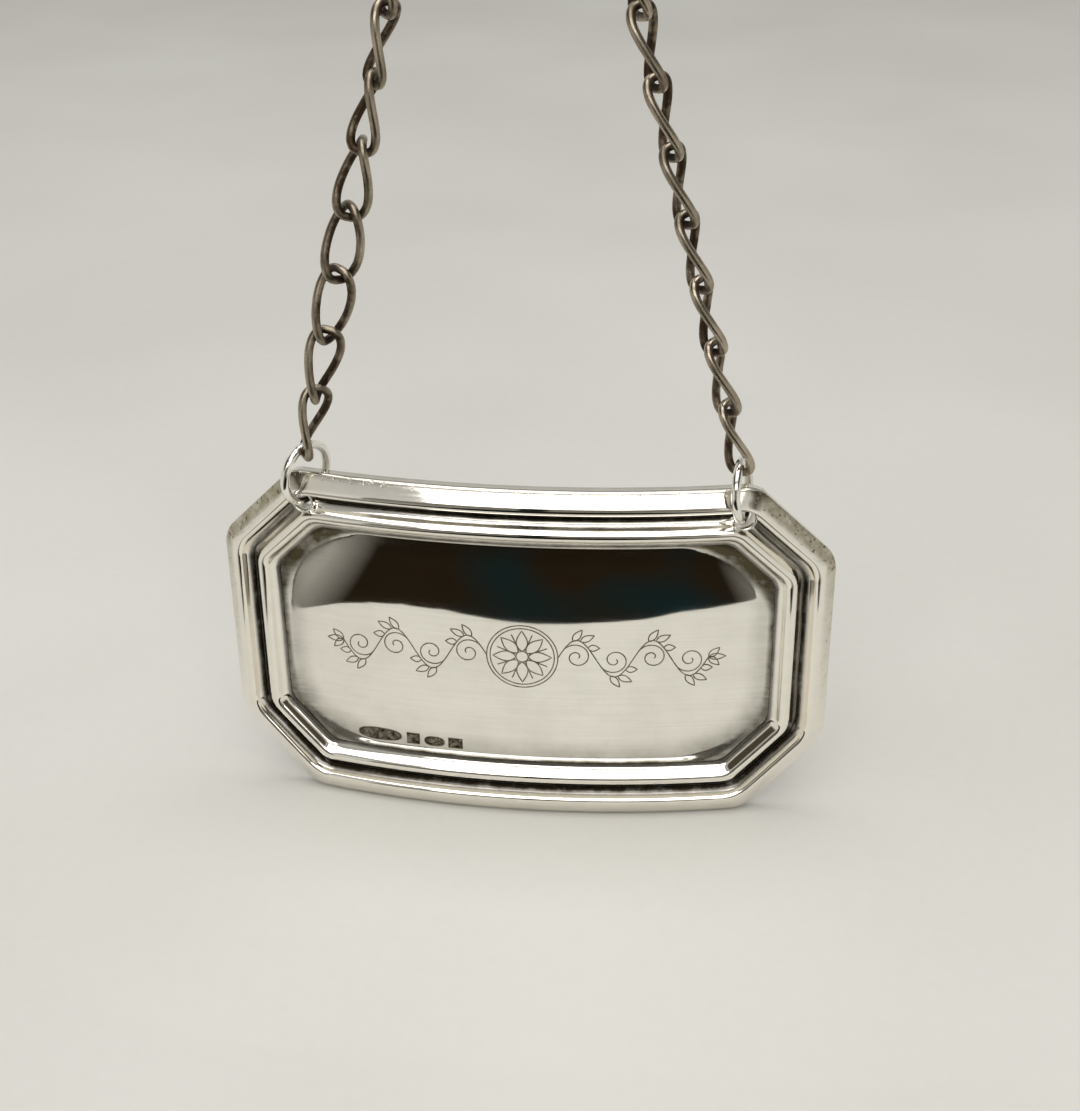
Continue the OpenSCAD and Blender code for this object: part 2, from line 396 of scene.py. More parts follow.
panel_silver = silver_finish(
    "panel_silver", bright=(0.93, 0.905, 0.845, 1), dark=(0.09, 0.075, 0.045, 1), amount=0.9, film=0.04,
    patch_scale=260.0, uneven=0.6, rough=(0.02, 0.045), wave_scale=130.0, line_share=0.012, bump=0.12,
    streaks=0.08)
border_silver = silver_finish(
    "border_silver", bright=(0.92, 0.885, 0.815, 1), dark=(0.026, 0.02, 0.012, 1), amount=1.0, film=0.04,
    patch_scale=620.0, uneven=0.28, rough=(0.05, 0.1), wave_scale=260.0, line_share=0.02, bump=0.3,
    pits=True)
ring_silver = silver_finish(
    "ring_silver", bright=(0.91, 0.89, 0.84, 1), dark=(0.1, 0.075, 0.05, 1), amount=0.75, film=0.06,
    patch_scale=900.0, uneven=0.8, rough=(0.07, 0.13), wave_scale=600.0, line_share=0.03, bump=0.2)
chain_silver = silver_finish(
    "chain_silver", bright=(0.48, 0.415, 0.325, 1), dark=(0.062, 0.042, 0.026, 1), amount=0.9, film=0.4,
    patch_scale=420.0, uneven=1.25, rough=(0.2, 0.3), wave_scale=900.0, line_share=0.08, bump=0.3)
engraving_dark = silver_finish(
    "engraving_dark", bright=(0.5, 0.45, 0.36, 1), dark=(0.15, 0.12, 0.085, 1), amount=0.8, film=0.4,
    patch_scale=1400.0, uneven=1.0, rough=(0.35, 0.5), wave_scale=900.0, line_share=0.1, bump=0.3)
punched_silver = silver_finish(
    "punched_silver", bright=(0.42, 0.39, 0.325, 1), dark=(0.04, 0.03, 0.02, 1), amount=1.0, film=0.35,
    patch_scale=2200.0, uneven=1.5, rough=(0.16, 0.3), wave_scale=1500.0, line_share=0.1, bump=0.6)


# The label, made flat with its face to -Y and then bent
def edge_distances(x, z):
    x, z = abs(x), abs(z)
    cut = (LABEL_W / 2 + LABEL_H / 2 - CORNER_CUT - x - z) / math.sqrt(2)
    return LABEL_W / 2 - x, LABEL_H / 2 - z, cut


def inward(x, z):
    return min(edge_distances(x, z))


def on_mitre(x, z):
    side, top, cut = edge_distances(x, z)
    if abs(side - cut) < MITRE_TOLERANCE and cut < top + MITRE_TOLERANCE:
        return "side"
    return "top" if abs(top - cut) < MITRE_TOLERANCE and cut < side + MITRE_TOLERANCE else None


def cut_cornered_blank(name, u, h):
    half_w, half_h = LABEL_W / 2 - u, LABEL_H / 2 - u
    cut = CORNER_CUT - u * (1 - MITRE)
    blank = upright_plane(name)
    bpy.ops.transform.resize(value=(2 * half_w, 1, 2 * half_h))
    bpy.ops.transform.translate(value=(0, -h, 0))
    for sx in (-1, 1):
        for sz in (-1, 1):
            select_all()
            bpy.ops.mesh.bisect(plane_co=(sx * (half_w - cut / 2), 0, sz * (half_h - cut / 2)),
                                plane_no=(sx, 0, sz), clear_outer=True, threshold=CUT_TOLERANCE)
    select_all()
    return blank


def follow_profile(profile):
    for (u0, h0), (u1, h1) in zip(profile, profile[1:]):
        if abs(u1 - u0) < 1e-6:
            bpy.ops.mesh.extrude_region_move(TRANSFORM_OT_translate={"value": (0, h0 - h1, 0)})
        else:
            bpy.ops.mesh.inset(thickness=u1 - u0, depth=h1 - h0, use_even_offset=True, use_boundary=True)


def close_underneath():
    bpy.ops.mesh.delete(type="ONLY_FACE")
    bpy.ops.mesh.select_all(action="DESELECT")
    leave_edit()
    blank = bpy.context.active_object
    for face in blank.data.polygons:
        face.select = len(face.vertices) > 4
    edit()
    bpy.ops.mesh.delete(type="ONLY_FACE")
    bpy.ops.mesh.select_mode(type="EDGE")
    bpy.ops.mesh.select_all(action="DESELECT")
    bpy.ops.mesh.select_non_manifold()
    bpy.ops.mesh.bridge_edge_loops()
    select_all()
    bpy.ops.mesh.normals_make_consistent(inside=False)
    bpy.ops.mesh.select_mode(type="FACE")
    select_all()


def slice_across(step, normal, reach):
    count = int(reach / step)
    for i in range(-count, count + 1):
        select_all()
        at = (i + 0.5) * step
        bpy.ops.mesh.bisect(plane_co=(normal[0] * at, 0, normal[2] * at), plane_no=normal,
                            threshold=CUT_TOLERANCE)


def bend_and_hang(obj):
    xs = [v.co.x for v in obj.data.vertices]
    bend = (max(xs) - min(xs)) / BEND_R
    apply_modifier(obj, "SIMPLE_DEFORM", deform_method="BEND", deform_axis="Z", angle=bend)
    return place(obj, Matrix.Translation((0, -eyelet_setback, label_z)))


def eyelet_matrix(side):
    s = SIDE[side]
    turn = Matrix.Rotation(s * eyelet_angle, 4, "Z") @ Matrix.Rotation(math.pi / 2, 4, "X")
    return Matrix.Translation((s * eyelet_reach, 0, eyelet_z + label_z)) @ turn


def drill_eyelets(obj):
    hole_r = EYELET_BORE / 2 + EYELET_WALL + BORE_SLACK
    for side in SIDE:
        nothing_selected()
        bpy.ops.mesh.primitive_cylinder_add(vertices=48, radius=hole_r, depth=DRILL_DEPTH)
        drill = place(bpy.context.active_object, eyelet_matrix(side))
        apply_modifier(obj, "BOOLEAN", operation="DIFFERENCE", solver="EXACT", object=drill)
        bpy.data.objects.remove(drill)


# The border: two reeds, each a profile of distance in from the edge and height above the plate
OUTER_PROFILE = [
    (0, SEAT_GAP), (0, 0.1), (0.015, 0.18), (0.06, 0.255), (0.14, 0.325), (0.28, 0.42), (0.48, 0.54),
    (0.7, 0.668), (0.92, 0.79), (1.06, 0.868), (1.145, 0.913), (1.22, 0.952), (1.3, 0.98), (1.385, 0.996),
    (1.47, 1.0), (1.54, 0.994), (1.607, 0.976), (1.67, 0.948), (1.727, 0.906), (1.78, 0.855), (1.816, 0.8),
    (1.846, 0.737), (1.88, 0.65), (1.93, 0.54), (2.0, 0.425), (2.1, 0.31), (2.22, 0.215), (2.35, 0.15),
    (2.45, 0.12), (2.45, SEAT_GAP)]
INNER_PROFILE = [
    (2.59, SEAT_GAP), (2.59, 0.12), (2.69, 0.165), (2.8, 0.245), (2.92, 0.36), (3.03, 0.49), (3.12, 0.61),
    (3.19, 0.705), (3.25, 0.787), (3.34, 0.883), (3.41, 0.935), (3.49, 0.97), (3.57, 0.992), (3.66, 1.0),
    (3.75, 0.992), (3.83, 0.97), (3.91, 0.935), (3.98, 0.883), (4.04, 0.82), (4.09, 0.75), (4.14, 0.655),
    (4.2, 0.54), (4.28, 0.41), (4.38, 0.295), (4.5, 0.195), (4.64, 0.115), (4.83, 0.06), (4.83, SEAT_GAP)]
BEVEL_END, INNER_CREST = 1.3, 3.66

# Soft regions of the label: the heights, then the distances to the side, between which they set in
UPPER_CANT = (6.0, 8.0), (17.6, 19.0)
TOP_CORNER = (3.5, 7.5), (13.0, 16.5)
LOW_CORNER = (3.0, 7.0), (12.0, 16.0)

# Tarnish that settles at the foot of a slope: how much, and the heights between which it fades
BEVEL_FOOT = (0.2, 0.04, 0.22)
INNER_REED_FOOT = (0.95, 0.1, 0.26)
COVE_FOOT = (0.85, 0.06, 0.24)
# Groove: patina at its floor; along the bottom and top the dark runs higher up the reed as painted
# reflection
GROOVE_FOOT_H, GROOVE_REACH, REFLECTION_REACH_BELOW, REFLECTION_REACH_ABOVE = 0.14, 0.42, 0.32, 0.2
GROOVE_BELOW, GROOVE_ABOVE = (-9.5, -6.5), (9.5, 11.5)
CANT_RUBBED = 0.3

# Pits on the bevel: the distances from the edge between which they end, on the cants and on the top rim
CANT_PITS_END, RIM_PITS, RIM_PITS_END, RIM_HEIGHTS = (0.75, 1.2), 0.45, (0.2, 0.5), (13.5, 14.4)


def settled(h, foot):
    amount, low, high = foot
    return amount * soft_fall(h, low, high)


def within_region(region, x, z):
    heights, distances = region
    return soft_step(z, *heights) * soft_step(abs(x), *distances)


def border_recess(co):
    u, h = inward(co.x, co.z), -co.y
    if u < BEVEL_END:
        return settled(h, BEVEL_FOOT)
    if u < GROOVE_MID:
        # Patina at the groove floor; the extra reach along the bottom and top is painted reflection
        below = soft_fall(co.z, *GROOVE_BELOW)
        above = soft_step(co.z, *GROOVE_ABOVE)
        reach = GROOVE_REACH + REFLECTION_REACH_BELOW * below + REFLECTION_REACH_ABOVE * above
        rubbed = CANT_RUBBED * within_region(UPPER_CANT, co.x, co.z)
        return (1 - rubbed) * soft_fall(h, GROOVE_FOOT_H, reach)
    return settled(h, INNER_REED_FOOT if u < INNER_CREST else COVE_FOOT)


def border_pitting(co):
    u = inward(co.x, co.z)
    rim = RIM_PITS * soft_step(co.z, *RIM_HEIGHTS) * soft_fall(u, *RIM_PITS_END)
    return soft_fall(u, *CANT_PITS_END) * max(within_region(UPPER_CANT, co.x, co.z), rim)


def round_mitres(border, reach):
    leave_edit()
    mesh = border.data
    for part in (mesh.polygons, mesh.edges, mesh.vertices):
        part.foreach_set("select", [False] * len(part))
    for e in mesh.edges:
        a, b = (mesh.vertices[i].co for i in e.vertices)
        kind = on_mitre(a.x, a.z)
        same_corner = a.x * b.x > 0 and a.z * b.z > 0
        if kind and same_corner and kind == on_mitre(b.x, b.z):
            e.select = True
            for i in e.vertices:
                mesh.vertices[i].select = True
    edit()
    bpy.ops.mesh.select_mode(type="EDGE")
    bpy.ops.mesh.bevel(offset=reach, offset_type="OFFSET", segments=4, profile=0.5, affect="EDGES",
                       clamp_overlap=False)
    bpy.ops.mesh.select_mode(type="FACE")
    select_all()


def make_border(name, profile, mitre_round):
    border = cut_cornered_blank(name, *profile[0])
    follow_profile(profile)
    close_underneath()
    round_mitres(border, mitre_round)
    slice_across(BORDER_SLICE, (1, 0, 0), LABEL_W / 2)
    leave_edit()
    mark(border, "recess", border_recess)
    mark(border, "pitting", border_pitting)
    bend_and_hang(border)
    drill_eyelets(border)
    smooth_by(border, EDGE_SMOOTH)
    return to_metres(border)


# The plate: a dished panel whose edge slopes gently in the corners and steeply along the sides
PLATE_INSETS = [0, PANEL_EDGE, 4.91, 5.0, 5.09, 5.17, 5.27, 5.37]
SLOPE_TOP, SLOPE_SIDE_MORE, SLOPE_CORNER = 0.34, 0.25, 1.5
SLOPE_TURN, CORNER_TURN = (-2.0, 2.0), (-2.0, 2.5)
BACK_DEPTH, BACK_TARNISH, BACK_DISH_TARNISH, BACK_DISH_REACH = 0.2, 0.22, 0.24, 2.5
GROOVE_FLOOR, GROOVE_FLOOR_TARNISH, HIDDEN_TARNISH, HIDDEN_END = (1.5, 3.6), 0.9, 0.12, 0.3
# Dish slope at the panel's edge: patina in the crease and painted shade, more of it in the top corners
SLOPE_PATINA_AND_SHADE, SLOPE_CLEAR, SLOPE_CLEAN = 0.85, 0.15, 1.05
TOP_CORNER_MORE, TOP_CORNER_CLEAR, TOP_CORNER_CLEAN = 0.2, 0.4, 0.55
# Painted shade: a brown darkening along the panel's edge, wider and stronger in the lower corners
PANEL_EDGE_SHADE, LOW_CORNER_MORE, EDGE_SHADE_START, EDGE_SHADE_REACH = 0.3, 0.35, 0.4, 2.4


def inside_panel(x, z):
    half_w, half_h = LABEL_W / 2 - PANEL_EDGE, LABEL_H / 2 - PANEL_EDGE
    dx, dz = abs(x) - (half_w - PANEL_ROUND), abs(z) - (half_h - PANEL_ROUND)
    return PANEL_ROUND - math.hypot(max(dx, 0), max(dz, 0)) - min(max(dx, dz), 0), dx, dz


def across_panel_edge(x, z):
    inside, dx, dz = inside_panel(x, z)
    straight = SLOPE_TOP + SLOPE_SIDE_MORE * soft_step(dx - dz, *SLOPE_TURN)
    corner = soft_step(min(dx, dz), *CORNER_TURN)
    return inside / (straight + (SLOPE_CORNER - straight) * corner)


def panel_recess(co):
    across = across_panel_edge(co.x, co.z)
    if co.y > PLATE_T - BACK_DEPTH:
        return BACK_TARNISH + BACK_DISH_TARNISH * soft_fall(abs(across), 0.0, BACK_DISH_REACH)
    u = inward(co.x, co.z)
    if u < PANEL_EDGE - HIDDEN_END:
        return GROOVE_FLOOR_TARNISH if GROOVE_FLOOR[0] < u < GROOVE_FLOOR[1] else HIDDEN_TARNISH
    # The dish slope is darkened: patina in the crease and painted shade, more of it in the top corners
    top_corner = within_region(TOP_CORNER, co.x, co.z)
    low_corner = within_region(LOW_CORNER, co.x, -co.z)
    slope = soft_fall(across, SLOPE_CLEAR + TOP_CORNER_CLEAR * top_corner,
                      SLOPE_CLEAN + TOP_CORNER_CLEAN * top_corner)
    # Painted shade: brown darkening near the panel's edge, strongest in the lower corners
    near_edge = soft_fall(inside_panel(co.x, co.z)[0], EDGE_SHADE_START, EDGE_SHADE_REACH + low_corner)
    film = (PANEL_EDGE_SHADE + LOW_CORNER_MORE * low_corner) * near_edge
    return max(film, (SLOPE_PATINA_AND_SHADE + TOP_CORNER_MORE * top_corner) * slope)


def file_corner(corner, flat, cant, r):
    middle = corner - (flat + cant).normalized() * r / math.cos(HALF_MITRE)
    for share in (0.25, 0.5, 0.75):
        facing = flat.lerp(cant, share).normalized()
        select_all()
        bpy.ops.mesh.bisect(plane_co=middle + facing * r, plane_no=facing, clear_outer=True,
                            threshold=CUT_TOLERANCE)


def file_corners(r):
    half_w, half_h = LABEL_W / 2, LABEL_H / 2
    for sx in (-1, 1):
        for sz in (-1, 1):
            cant = Vector((sx, 0, sz)).normalized()
            file_corner(Vector((sx * (half_w - CORNER_CUT), 0, sz * half_h)), Vector((0, 0, sz)), cant, r)
            file_corner(Vector((sx * half_w, 0, sz * (half_h - CORNER_CUT))), Vector((sx, 0, 0)), cant, r)


def make_plate():
    plate = cut_cornered_blank("label_plate", 0, 0)
    follow_profile([(u, 0) for u in PLATE_INSETS])
    slice_across(PLATE_SLICE, (1, 0, 0), LABEL_W / 2)
    slice_across(PLATE_SLICE, (0, 0, 1), LABEL_H / 2)
    select_all()
    bpy.ops.mesh.subdivide(number_cuts=1)
    file_corners(FILED_ROUND)
    leave_edit()
    for v in plate.data.vertices:
        v.co.y = DISH_DEPTH * soft_step(across_panel_edge(v.co.x, v.co.z), 0.0, 1.0)
    return plate


def finish_plate(plate):
    apply_modifier(plate, "SOLIDIFY", thickness=PLATE_T, offset=-1, use_even_offset=False)
    mark(plate, "recess", panel_recess)
    bend_and_hang(plate)
    drill_eyelets(plate)
    smooth_by(plate, EDGE_SMOOTH)
    return to_metres(plate)


# Engraving: fine lines laid on the flat panel before it is bent
def lay_on_panel(obj, plate, flatten, lift):
    for v in obj.data.vertices:
        _, where, _, _ = plate.ray_cast(Vector((v.co.x, -5, v.co.z)), Vector((0, 1, 0)))
        v.co.y = where.y + v.co.y * flatten - lift


def engraved_lines(name, strokes, width, plate):
    curve = bpy.data.curves.new(name, "CURVE")
    curve.dimensions = "3D"
    curve.bevel_depth = width / 2
    curve.bevel_resolution = 1
    for points, closed in strokes:
        spline = curve.splines.new("POLY")
        spline.points.add(len(points) - 1)
        for p, (x, z) in zip(spline.points, points):
            p.co = (x, 0, z, 1)
        spline.use_cyclic_u = closed
    lines = bpy.data.objects.new(name, curve)
    bpy.context.collection.objects.link(lines)
    take(lines)
    bpy.ops.object.convert(target="MESH")
    lines = bpy.context.active_object
    lay_on_panel(lines, plate, LINE_FLATTEN, LAID_LIFT)
    return lines


def spiral(cx, cz, start, turns, r0, r1, steps):
    points = []
    for i in range(steps + 1):
        t = i / steps
        r = r0 + (r1 - r0) * t
        a = start + turns * 2 * math.pi * t
        points.append((cx + r * math.cos(a), cz + r * math.sin(a)))
    return points


def leaf(x, z, angle, length, width):
    near, far = [], []
    for i in range(13):
        t = i / 12
        w = width * math.sin(math.pi * t ** 0.8)
        near.append((t * length, w))
        far.append((t * length, -w))
    c, s = math.cos(angle), math.sin(angle)
    return [(x + c * a - s * b, z + s * a + c * b) for a, b in near + far[-2:0:-1]]


def circle(cx, cz, r, count):
    return [(cx + r * math.cos(2 * math.pi * i / count), cz + r * math.sin(2 * math.pi * i / count))
            for i in range(count)]


# A rosette in the middle, and a waving stem with curls and leaves to each side
VINE_Z, ROSE_EYE, ROSE_RIM, ROSE_RIM_GAP = -0.2, 0.5, 2.9, 0.28
PETALS, PETAL_L, PETAL_W, RAY_STOPS = 8, 1.9, 0.46, (0.6, 1.4, 2.2)
HALF_WAVE, SWING, WAVES, STEM_STEPS = 3.05, 1.7, 4, 128
CURL_OFF, CURL_START, CURL_TURNS, CURL_R, CURL_STEPS = 0.14, 2.6, 1.5, (1.24, 0.16), 64
LEAF_W = 0.28
WAVE_LEAVES = ((0.4, 0.95, 1.3), (0.6, 0.45, 1.25), (0.8, 0.0, 0.95))
TIP_LEAVES = ((0.0, 1.4), (0.75, 1.2), (-0.75, 1.2))


def rosette_strokes():
    rounds = ((ROSE_EYE, 28), (ROSE_RIM - ROSE_RIM_GAP, 72), (ROSE_RIM, 72))
    strokes = [(circle(0, VINE_Z, r, count), True) for r, count in rounds]
    for k in range(PETALS):
        a = k * 2 * math.pi / PETALS
        foot_x, foot_z = ROSE_EYE * math.cos(a), VINE_Z + ROSE_EYE * math.sin(a)
        strokes.append((leaf(foot_x, foot_z, a, PETAL_L, PETAL_W), True))
        b = a + math.pi / PETALS
        strokes.append(([(r * math.cos(b), VINE_Z + r * math.sin(b)) for r in RAY_STOPS], False))
    return strokes


def stem_strokes():
    stem = []
    for i in range(STEM_STEPS + 1):
        x = ROSE_RIM + HALF_WAVE * WAVES * i / STEM_STEPS
        stem.append((x, VINE_Z + SWING * math.sin(math.pi * (x - ROSE_RIM) / HALF_WAVE)))
    strokes = [(stem, False)]
    for k in range(WAVES):
        up = 1 if k % 2 == 0 else -1
        x0 = ROSE_RIM + HALF_WAVE * k
        curl = spiral(x0 + HALF_WAVE * 0.5, VINE_Z + up * CURL_OFF, up * CURL_START, -up * CURL_TURNS,
                      *CURL_R, CURL_STEPS)
        strokes.append((curl, False))
        for shift, turn, size in WAVE_LEAVES:
            z = VINE_Z + up * SWING * math.sin(math.pi * shift)
            strokes.append((leaf(x0 + HALF_WAVE * shift, z, up * turn, size, LEAF_W), True))
    tip = ROSE_RIM + HALF_WAVE * WAVES
    for turn, size in TIP_LEAVES:
        strokes.append((leaf(tip, VINE_Z, turn, size, LEAF_W), True))
    return strokes


def vine_strokes():
    strokes = rosette_strokes()
    for s in SIDE.values():
        for points, closed in stem_strokes():
            strokes.append(([(s * x, z) for x, z in points], closed))
    return strokes


# Four plain punched marks in a row
MARK_INSETS, MARK_STEP, MARK_STEP_AT = (0.07, 0.08), 0.006, 0.1
MARK_TARNISH, MARK_WORN, MARK_FADE = 0.95, 0.5, (0.02, 0.2)
LINE_TARNISH = 0.6


def oval(cx, cz, a, b):
    def full(value):
        return math.copysign(abs(value) ** 0.8, value)

    turns = [i * math.pi / 20 for i in range(40)]
    return [(cx + a * full(math.cos(t)), cz + b * full(math.sin(t))) for t in turns]


def tile(cx, cz, a, b):
    return [(cx - a, cz - b), (cx + a, cz - b), (cx + a, cz + b), (cx - a, cz + b)]


def from_outline(co, outline):
    at = Vector((co.x, co.z))
    nearest = math.inf
    for start, end in zip(outline, outline[1:] + outline[:1]):
        _, share = intersect_point_line(at, Vector(start), Vector(end))
        foot = Vector(start).lerp(Vector(end), within(share, 0.0, 1.0))
        nearest = min(nearest, (at - foot).length)
    return nearest


def punched_floor(name, outline, plate):
    def worn(co):
        return MARK_TARNISH - MARK_WORN * soft_step(from_outline(co, outline), *MARK_FADE)

    floor = filled_outline(name, [(x, 0, z) for x, z in outline])
    edit()
    select_all()
    bpy.ops.mesh.normals_make_consistent(inside=False)
    for inset in MARK_INSETS:
        bpy.ops.mesh.inset(thickness=inset, depth=0.0, use_even_offset=True, use_boundary=True)
    slice_across(MARK_SLICE, (1, 0, 0), LABEL_W / 2)
    leave_edit()
    if floor.data.polygons[0].normal.y > 0:
        floor.data.flip_normals()
    for v in floor.data.vertices:
        v.co.y = -MARK_STEP if from_outline(v.co, outline) > MARK_STEP_AT else 0.0
    mark(floor, "recess", worn)
    lay_on_panel(floor, plate, 1.0, LAID_LIFT)
    return floor


plate = make_plate()
vine = engraved_lines("engraved_vine", vine_strokes(), VINE_LINE, plate)
outlines = [oval(-12.4, -9.07, 1.9, 0.58), tile(-9.45, -9.1, 0.55, 0.52), oval(-7.6, -9.16, 0.86, 0.44),
            tile(-5.8, -9.14, 0.6, 0.48)]
mark_rims = engraved_lines("punched_rims", [(p, True) for p in outlines], MARK_LINE, plate)
floors = [punched_floor(f"punched_mark_{i + 1}", p, plate) for i, p in enumerate(outlines)]
for piece in (vine, mark_rims):
    mark(piece, "recess", lambda co: LINE_TARNISH)
for piece in [vine, mark_rims] + floors:
    bend_and_hang(piece)
    smooth_by(piece, LINE_SMOOTH)
    to_metres(piece)
finish_plate(plate)

finish_piece(plate, "label", "label_silver", panel_silver, "face_plate")
outer_reed = make_border("outer_reed", OUTER_PROFILE, OUTER_MITRE_ROUND)
finish_piece(outer_reed, "label", "label_silver", border_silver, "outer_border")
inner_reed = make_border("inner_reed", INNER_PROFILE, INNER_MITRE_ROUND)
finish_piece(inner_reed, "label", "label_silver", border_silver, "inner_border")
finish_piece(vine, "label", "label_silver", engraving_dark)
finish_piece(mark_rims, "label", "label_silver", engraving_dark)
for piece in floors:
    finish_piece(piece, "label", "label_silver", punched_silver)


# Eyelets: a rounded strip of wall, spun round its bore
EYELET_GRIME, EYELET_GRIME_END = 0.9, (0.1, EYELET_H - 0.2)


def make_eyelet():
    eyelet = upright_plane("eyelet_pattern")
    bpy.ops.transform.resize(value=(EYELET_WALL, 1, PLATE_T + EYELET_H))
    bpy.ops.mesh.bevel(offset=EYELET_WALL * EYELET_ROUND, segments=5, affect="VERTICES")
    select_all()
    bpy.ops.transform.translate(value=(EYELET_BORE / 2 + EYELET_WALL / 2, 0, (EYELET_H - PLATE_T) / 2))
    bpy.ops.mesh.delete(type="ONLY_FACE")
    select_all()
    bpy.ops.mesh.spin(steps=72, angle=2 * math.pi, center=(0, 0, 0), axis=(0, 0, 1))
    select_all()
    bpy.ops.mesh.remove_doubles(threshold=1e-4)
    bpy.ops.mesh.normals_make_consistent(inside=False)
    leave_edit()
    for v in eyelet.data.vertices:
        flare = 1 + EYELET_FLARE * soft_step(v.co.z, EYELET_H - FLARE_H, EYELET_H)
        v.co.x *= flare
        v.co.y *= flare
    mark(eyelet, "recess", lambda co: EYELET_GRIME * soft_fall(co.z, *EYELET_GRIME_END))
    smooth_by(eyelet, LINE_SMOOTH)
    return eyelet


eyelet_pattern = make_eyelet()
for side in SIDE:
    eyelet = duplicate(eyelet_pattern, f"{side}_rolled_eyelet")
    place(eyelet, eyelet_matrix(side))
    finish_piece(to_metres(eyelet), "label", "bright_silver", ring_silver, f"{side}_eyelet")
bpy.data.objects.remove(eyelet_pattern)


# Jump rings: a round of wire with the butt joint where its ends meet
RING_INNER_GRIME, RING_INNER_END = 0.3, (RING_D / 2 - RING_WIRE * 0.45, RING_D / 2)


def make_ring(side):
    s = SIDE[side]

    def from_seam(co):
        a = math.atan2(co.y, co.x) - math.radians(SEAM_TURN[side])
        return abs(math.atan2(math.sin(a), math.cos(a)))

    def worn(co):
        seam = soft_fall(from_seam(co), SEAM_HALF, SEAM_FADE)
        inside = soft_fall(math.hypot(co.x, co.y), *RING_INNER_END)
        return max(seam, RING_INNER_GRIME * inside)

    nothing_selected()
    bpy.ops.mesh.primitive_torus_add(major_segments=144, minor_segments=28, major_radius=RING_D / 2,
                                     minor_radius=RING_WIRE / 2 * RING_FIT)
    ring = bpy.context.active_object
    ring.name = f"{side}_jump_ring"
    for v in ring.data.vertices:
        core = Vector((v.co.x, v.co.y, 0)).normalized() * RING_D / 2
        pinch = SEAM_PINCH if from_seam(v.co) < SEAM_HALF else 0.0
        v.co = core + (v.co - core) * (1 - pinch)
    mark(ring, "recess", worn)
    take(ring)
    bpy.ops.object.shade_smooth()
    turn = Matrix.Rotation(math.radians(RING_TURN[side] - 90), 4, "Z") @ Matrix.Rotation(math.pi / 2, 4, "X")
    lean = Matrix.Rotation(math.radians(-s * RING_LEAN), 4, "Y")
    place(ring, Matrix.Translation((s * ring_mid_x, 0, ring_mid_z)) @ lean @ turn)
    finish_piece(to_metres(ring), f"{side}_ring", "bright_silver", ring_silver, f"{side}_ring")


for side in SIDE:
    make_ring(side)

# Chain: one oval of wire, twisted, then copied, rolled and hung link by link
LINK_GRIME = {"left": (-0.05, 0.02, -0.04, 0.05, 0.0, 0.06, -0.03, 0.04, 0.08),
              "right": (-0.28, -0.22, -0.12, -0.02, 0.03, -0.02, 0.05, 0.02, 0.06)}
ARCH_GRIME = 0.08
LINK_SHADE, END_SHADE, END_FROM, END_TO = 0.5, 0.25, 0.9, 0.3


def make_link_pattern():
    half_l = (LINK_PITCH + LINK_WIRE + LINK_GAP) / 2
    half_w = (LINK_W - LINK_WIRE) / 2
    nothing_selected()
    bpy.ops.mesh.primitive_circle_add(vertices=LINK_POINTS, radius=1, fill_type="NOTHING")
    link = bpy.context.active_object
    for i, v in enumerate(link.data.vertices):
        t = 2 * math.pi * (i + 0.5) / LINK_POINTS
        c, s = math.cos(t), math.sin(t)
        w = half_w * math.copysign(abs(c) ** (2 / LINK_FULLNESS), c)
        z = half_l * math.copysign(abs(s) ** (2 / LINK_FULLNESS), s)
        a = math.radians(-90 - LINK_TWIST / 2 * z / half_l)
        v.co = (w * math.cos(a), w * math.sin(a), z)
    core = [v.co.copy() for v in link.data.vertices]
    take(link)
    bpy.ops.object.convert(target="CURVE")
    link = bpy.context.active_object
    link.data.bevel_depth = LINK_WIRE / 2 * LINK_FIT
    link.data.bevel_resolution = 6
    bpy.ops.object.convert(target="MESH")
    link = bpy.context.active_object
    edit()
    select_all()
    bpy.ops.mesh.remove_doubles(threshold=1e-5)
    bpy.ops.mesh.normals_make_consistent(inside=False)
    leave_edit()
    tree = kdtree.KDTree(len(core))
    for i, p in enumerate(core):
        tree.insert(p, i)
    tree.balance()

    def rubbed(co):
        p, _, _ = tree.find(co)
        outward = (co - p).dot(p.normalized()) / (LINK_WIRE / 2)
        end = soft_step(abs(co.z), half_l - END_FROM, half_l - END_TO)
        return min(1.0, LINK_SHADE - LINK_SHADE * outward + END_SHADE * end * (1 - outward))

    mark(link, "recess", rubbed)
    take(link)
    bpy.ops.object.shade_smooth()
    return link


link_pattern = make_link_pattern()


def hang_link(name, middle, lean, roll, body, node, grime):
    link = duplicate(link_pattern, name)
    for point in link.data.attributes["recess"].data:
        point.value = within(point.value + grime, 0.0, 1.0)
    place(link, Matrix.Translation(middle) @ Matrix.Rotation(math.radians(lean), 4, "Y")
          @ Matrix.Rotation(math.radians(roll), 4, "Z"))
    finish_piece(to_metres(link), body, "chain_silver", chain_silver, node)


for side in SIDE:
    for k in range(1, SIDE_LINKS + 1):
        roll = max(ROLL_FLOOR, ROLL_LOW[side] - (k - 1) * ROLL_STEP[side])
        middle = (contact(side, k - 1) + contact(side, k)) / 2
        hang_link(f"{side}_wire_link_{k}", middle, -SIDE[side] * side_lean, roll, f"{side}_link_{k}",
                  f"{side}_link_{k}", LINK_GRIME[side][k - 1])
arch_mid_x = LINK_PITCH / 2 * (1 + math.cos(math.radians(arch_bend)))
arch_mid_z = (top_z + arch_end_z) / 2
for step, body in ((-1, "left_arch_link"), (0, "top_link"), (1, "right_arch_link")):
    middle = Vector((step * arch_mid_x, 0, arch_mid_z if step else top_z))
    hang_link(f"wire_{body}", middle, 90 + step * arch_bend, 0, body, f"arch_link_{step + 2}", ARCH_GRIME)
bpy.data.objects.remove(link_pattern)

